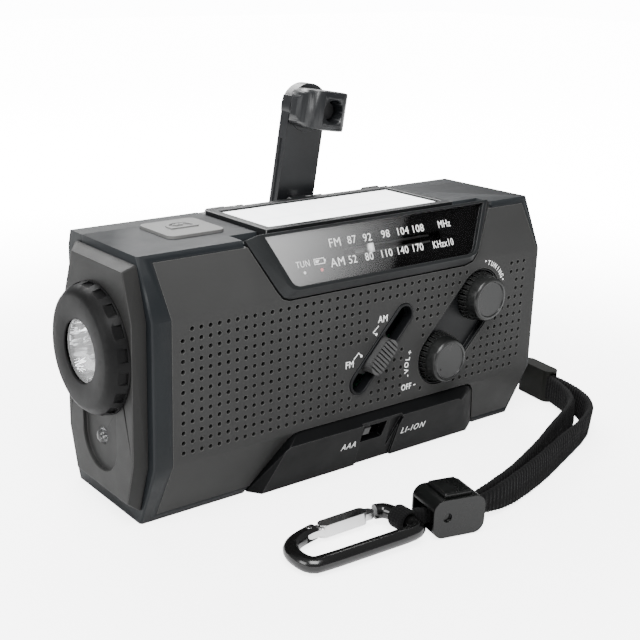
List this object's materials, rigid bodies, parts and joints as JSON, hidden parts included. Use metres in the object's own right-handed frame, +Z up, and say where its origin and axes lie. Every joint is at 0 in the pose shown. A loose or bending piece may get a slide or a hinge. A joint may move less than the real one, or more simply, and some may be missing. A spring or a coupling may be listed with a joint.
{
  "type": "emergency radio",
  "caption": "Hand-crank emergency radio with torch end, dial window, speaker dots, two knobs, hinged solar lid, raised folding crank and a webbing wrist strap with lock and clip",
  "frame": {"origin": "centre of the base, on the surface the radio stands on", "axes": "+X along the body from the torch end to the strap end, -Y out of the dial side, +Z up"},
  "size_m": [0.1754, 0.0966, 0.1082],
  "materials": {
    "shell_plastic": "satin moulded, slate blue-black",
    "panel_plastic": "fine grained, mid grey",
    "bezel_gloss": "semi-gloss dark grey",
    "dial_black": "matt black scale plate",
    "dial_glass": "clear smoked window",
    "cap_plastic": "fine grained, warm grey",
    "ring_rubber": "matt black rubber",
    "reflector_chrome": "bright vacuum-metallised",
    "clear_lens": "clear moulded",
    "led_white": "diffusing white",
    "lower_gloss": "gloss black",
    "recess_plastic": "semi-gloss black",
    "board_green": "solder-masked laminate",
    "steel_plain": "plain zinc-plated",
    "cone_paper": "black pressed paper",
    "capacitor_plastic": "milky",
    "ferrite_grey": "sintered dark grey",
    "cell_wrap": "shrink-wrap blue",
    "aaa_wrap": "printed-free wrap",
    "contact_spring": "nickel-plated spring steel",
    "socket_metal": "nickel-plated shell",
    "knob_gloss": "gloss black-grey",
    "pointer_white": "white marker",
    "slider_grey": "mid grey ribbed",
    "button_grey": "light grey satin",
    "lid_plastic": "dark grey with bright edge",
    "solar_glass": "glazed solar cell under sky reflection",
    "gear_nylon": "natural nylon",
    "pinion_brass": "turned brass",
    "crank_plastic": "satin moulded black-blue",
    "aerial_chrome": "bright plated",
    "ferrule_plastic": "dark olive-black crimp",
    "strap_fabric": "ribbed woven nylon webbing",
    "lock_gloss": "gloss black",
    "clip_paint": "gloss black lacquer on aluminium",
    "gate_chrome": "bright plated"
  },
  "bodies": {
    "radio_body": {"front_housing": "shell_plastic", "rear_housing": "shell_plastic", "grille_panel": "panel_plastic", "dial_bezel": "bezel_gloss", "dial_plate": "dial_black", "dial_window": "dial_glass", "left_end_cap": "cap_plastic", "right_end_cap": "cap_plastic", "torch_ring": "ring_rubber", "torch_reflector": "reflector_chrome", "torch_lens": "clear_lens", "torch_led": "led_white", "indicator_lens": "clear_lens", "switch_bezel": "lower_gloss", "knob_plate": "recess_plastic", "slot_plate": "recess_plastic", "circuit_board": "board_green", "speaker_basket": "steel_plain", "speaker_cone": "cone_paper", "tuning_capacitor": "capacitor_plastic", "volume_control": "recess_plastic", "band_switch": "recess_plastic", "ferrite_rod": "ferrite_grey", "lithium_cell": "cell_wrap", "aaa_cells": "aaa_wrap", "battery_contacts": "contact_spring", "generator": "steel_plain", "housing_screws": "steel_plain", "usb_ports": "socket_metal", "lid_hinge_pin": "steel_plain"},
    "tuning_control": {"tuning_knob": "knob_gloss", "tuning_shaft": "steel_plain"},
    "volume_dial": {"volume_knob": "knob_gloss", "volume_shaft": "steel_plain"},
    "station_pointer": {"dial_pointer": "pointer_white"},
    "band_lever": {"band_slider": "slider_grey"},
    "power_lever": {"battery_selector": "slider_grey"},
    "torch_switch": {"torch_button": "button_grey"},
    "solar_lid": {"solar_frame": "lid_plastic", "solar_cell": "solar_glass", "reading_lamp": "led_white"},
    "crank_rotor": {"crank_shaft": "steel_plain", "drive_gear": "gear_nylon", "crank_hinge_pin": "steel_plain"},
    "crank_handle": {"crank_arm": "crank_plastic", "knob_pin": "steel_plain"},
    "crank_grip": {"crank_knob": "crank_plastic"},
    "idler_wheel": {"idler_gear": "gear_nylon"},
    "generator_rotor": {"generator_pinion": "pinion_brass"},
    "aerial_swivel": {"aerial_base": "aerial_chrome", "aerial_tube": "aerial_chrome"},
    "aerial_tip": {"aerial_rod": "aerial_chrome"},
    "socket_cover": {"port_cover": "ring_rubber"},
    "battery_lid": {"battery_door": "shell_plastic"},
    "wrist_strap": {"strap_ferrule": "ferrule_plastic", "strap_webbing": "strap_fabric"},
    "cord_lock": {"cord_lock_housing": "lock_gloss"},
    "lock_button": {"cord_lock_slider": "lock_gloss"},
    "clip_frame": {"carabiner_body": "clip_paint"},
    "clip_gate": {"carabiner_gate": "gate_chrome"}
  },
  "joints": [
    {"name": "tuning_turn", "type": "hinge", "parent": "radio_body", "child": "tuning_control", "pos_m": [0.0453, -0.023, 0.0465], "axis": [0, 1, 0], "range_deg": [-105, 190]},
    {"name": "volume_turn", "type": "hinge", "parent": "radio_body", "child": "volume_dial", "pos_m": [0.0296, -0.023, 0.0299], "axis": [0, 1, 0], "range_deg": [0, 290]},
    {"name": "pointer_travel", "type": "slide", "parent": "radio_body", "child": "station_pointer", "axis": [1, 0, 0], "range_m": [-0.0105, 0.019]},
    {"name": "band_select", "type": "slide", "parent": "radio_body", "child": "band_lever", "axis": [0.6772, 0, 0.7358], "range_m": [0, 0.008]},
    {"name": "battery_select", "type": "slide", "parent": "radio_body", "child": "power_lever", "axis": [1, 0, 0], "range_m": [0, 0.0034]},
    {"name": "torch_press", "type": "slide", "parent": "radio_body", "child": "torch_switch", "axis": [0, 0, -1], "range_m": [0, 0.0012], "stiffness_N_per_m": 400},
    {"name": "lid_open", "type": "hinge", "parent": "radio_body", "child": "solar_lid", "pos_m": [0.006, 0.0192, 0.073], "axis": [-1, 0, 0], "range_deg": [0, 50]},
    {"name": "crank_spin", "type": "hinge", "parent": "radio_body", "child": "crank_rotor", "pos_m": [0.0035, 0.015, 0.039], "axis": [0, 1, 0], "range_deg": [-48, 30]},
    {"name": "crank_fold", "type": "hinge", "parent": "crank_rotor", "child": "crank_handle", "pos_m": [0.0035, 0.0252, 0.039], "axis": [-0.9893, 0, 0.1461], "range_deg": [0, 180]},
    {"name": "grip_spin", "type": "hinge", "parent": "crank_handle", "child": "crank_grip", "pos_m": [0.01263, 0.017, 0.10083], "axis": [0, 1, 0], "continuous": true},
    {"name": "idler_spin", "type": "hinge", "parent": "radio_body", "child": "idler_wheel", "pos_m": [0.0296, 0.015, 0.039], "axis": [0, 1, 0], "range_deg": [-105, 165]},
    {"name": "generator_spin", "type": "hinge", "parent": "radio_body", "child": "generator_rotor", "pos_m": [0.0528, 0.012, 0.039], "axis": [0, 1, 0], "range_deg": [-460, 290]},
    {"name": "aerial_swing", "type": "hinge", "parent": "radio_body", "child": "aerial_swivel", "pos_m": [-0.0636, 0.0199, 0.0656], "axis": [0, 0, 1], "range_deg": [0, 90]},
    {"name": "aerial_extend", "type": "slide", "parent": "aerial_swivel", "child": "aerial_tip", "axis": [1, 0, 0], "range_m": [0, 0.042]},
    {"name": "cover_open", "type": "hinge", "parent": "radio_body", "child": "socket_cover", "pos_m": [0.07325, 0.0079, 0.055], "axis": [0, 0, 1], "range_deg": [0, 100]},
    {"name": "battery_lid_open", "type": "hinge", "parent": "radio_body", "child": "battery_lid", "pos_m": [-0.0375, 0.0212, 0.00645], "axis": [1, 0, 0], "range_deg": [-90, 0]},
    {"name": "strap_swing", "type": "hinge", "parent": "radio_body", "child": "wrist_strap", "pos_m": [0.0774, 0.0054, 0.0155], "axis": [0, 0, 1], "range_deg": [-3, 12]},
    {"name": "lock_slide", "type": "slide", "parent": "wrist_strap", "child": "cord_lock", "axis": [0.9703, -0.2419, 0], "range_m": [-0.0014, 0.0014]},
    {"name": "lock_press", "type": "slide", "parent": "cord_lock", "child": "lock_button", "axis": [0, 0, -1], "range_m": [0, 0.0012], "stiffness_N_per_m": 300},
    {"name": "clip_lift", "type": "hinge", "parent": "wrist_strap", "child": "clip_frame", "pos_m": [-0.0154, -0.0564, 0.0038], "axis": [0, 1, 0], "range_deg": [0, 60]},
    {"name": "gate_open", "type": "hinge", "parent": "clip_frame", "child": "clip_gate", "pos_m": [-0.03998, -0.0478, 0.00294], "axis": [-0.0349, 0, 0.9994], "range_deg": [-22, 0], "stiffness_Nm_per_rad": 0.02}
  ],
  "couplings": [
    {"joint": "pointer_travel", "follows": "tuning_turn", "m_per_rad": 0.0056},
    {"joint": "idler_spin", "follows": "crank_spin", "ratio": -3.3333},
    {"joint": "generator_spin", "follows": "crank_spin", "ratio": 9.4444}
  ]
}
